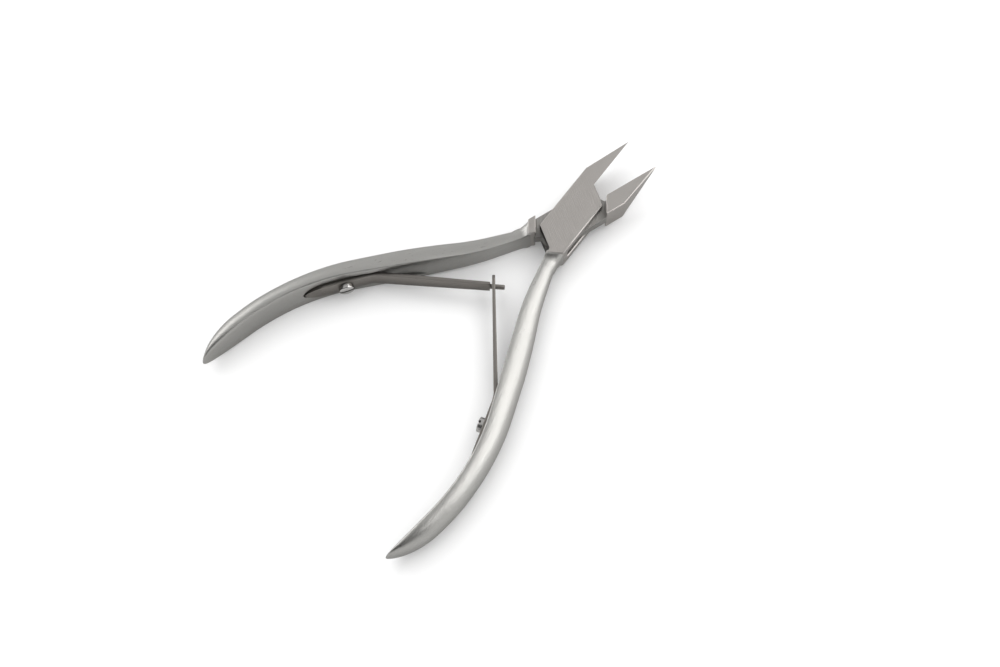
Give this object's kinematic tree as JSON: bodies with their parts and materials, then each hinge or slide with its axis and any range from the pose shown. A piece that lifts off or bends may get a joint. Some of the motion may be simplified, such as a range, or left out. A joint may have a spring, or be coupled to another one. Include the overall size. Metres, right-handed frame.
{
  "type": "cuticle nipper",
  "caption": "Hand nipper with short angled jaws, a box joint, two curved handles with domed backs, and crossed leaf springs that hold it open.",
  "frame": {"origin": "where the pivot's axis meets the underside of the box", "axes": "+X along the line midway between the jaws, towards their tips; +Y towards the handle of the lever with the tang; +Z along the pivot, from the underside to the top face, which holds the cutting edges"},
  "size_m": [0.1237, 0.079, 0.011],
  "materials": {
    "lever_steel": "satin stainless steel, brushed across the box",
    "spring_steel": "darker spring steel, fine-ground",
    "screw_steel": "bright turned steel"
  },
  "bodies": {
    "box_side": {"box_lever": "lever_steel", "pivot_pin": "lever_steel", "slot_spring_foot": "spring_steel", "slot_spring_screw": "screw_steel"},
    "tang_side": {"tang_lever": "lever_steel", "tongue_spring_foot": "spring_steel", "tongue_spring_screw": "screw_steel"},
    "tongue_arm": {"tongue_spring_arm": "spring_steel"},
    "slot_arm": {"slot_spring_arm": "spring_steel"}
  },
  "joints": [
    {"name": "pivot", "type": "hinge", "parent": "box_side", "child": "tang_side", "pos_m": [0, 0, 0.004], "axis": [0, 0, 1], "range_deg": [-3, 20.5], "stiffness_Nm_per_rad": 1.5},
    {"name": "tongue_flex", "type": "hinge", "parent": "tang_side", "child": "tongue_arm", "pos_m": [-0.04411, 0.01989, 0.004], "axis": [0, 0, 1], "range_deg": [-1.9, 12.3]},
    {"name": "slot_flex", "type": "hinge", "parent": "box_side", "child": "slot_arm", "pos_m": [-0.04411, -0.01989, 0.004], "axis": [0, 0, -1], "range_deg": [-1.9, 12.3]}
  ],
  "couplings": [
    {"joint": "tongue_flex", "follows": "pivot", "ratio": 0.594},
    {"joint": "slot_flex", "follows": "pivot", "ratio": 0.594}
  ]
}
